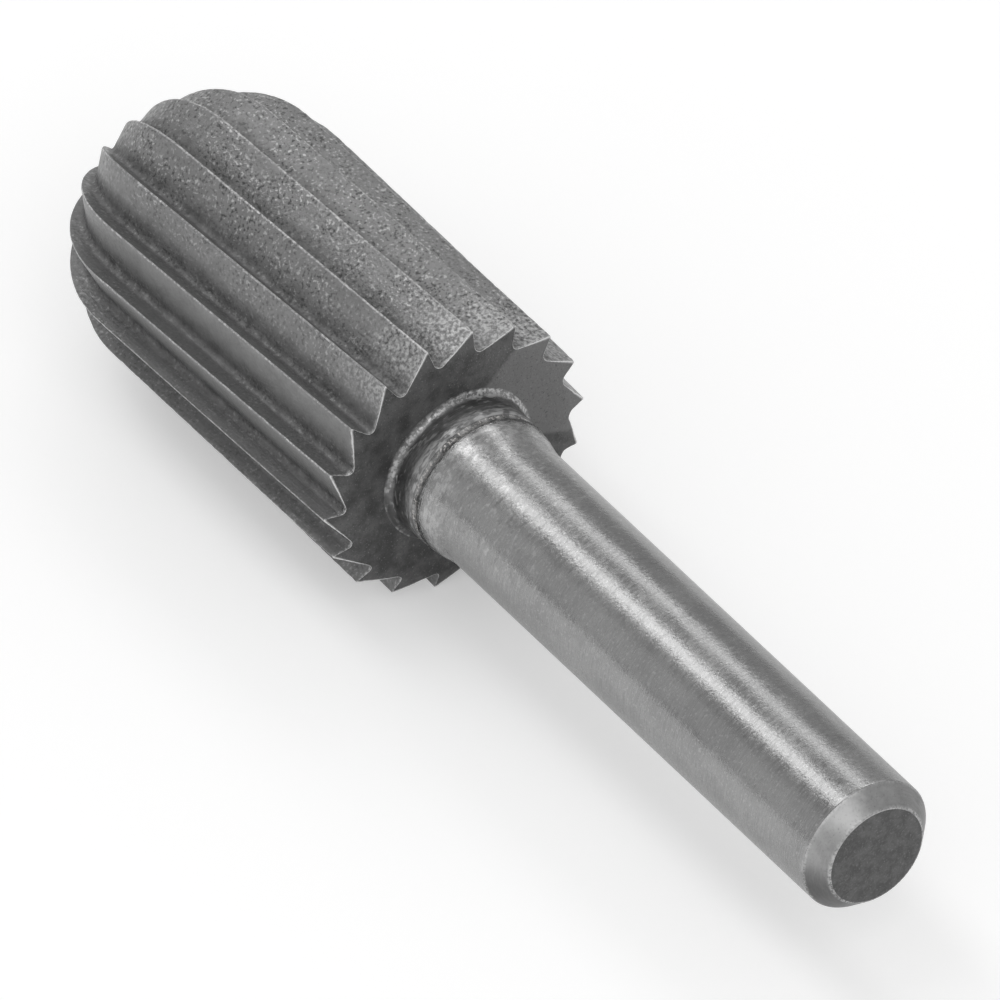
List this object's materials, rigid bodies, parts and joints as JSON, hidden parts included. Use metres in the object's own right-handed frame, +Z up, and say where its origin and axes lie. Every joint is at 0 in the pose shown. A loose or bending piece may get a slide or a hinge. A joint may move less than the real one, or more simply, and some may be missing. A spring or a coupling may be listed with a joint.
{
  "type": "carbide burr",
  "caption": "Ball-nosed cylindrical rotary burr: a toothed carbide head with slightly helical flutes, brazed to a straight ground steel shank with a bevelled end.",
  "frame": {"origin": "on the ground, under the middle of the tool's length and under its axis", "axes": "+X along the tool's axis from the cutting head to the shank's free end, +Z up, as the tool lies on two of its teeth"},
  "size_m": [0.0524, 0.0126, 0.0127],
  "materials": {
    "carbide": "sintered tungsten carbide, matt dark grey with a fine blasted grain and bright worn cutting edges",
    "braze": "dull silver brazing alloy",
    "ground_steel": "cylindrically ground steel, with fine marks around the shank"
  },
  "bodies": {
    "root": {"cutting_head": "carbide", "braze_joint": "braze", "shank": "ground_steel"}
  },
  "joints": []
}
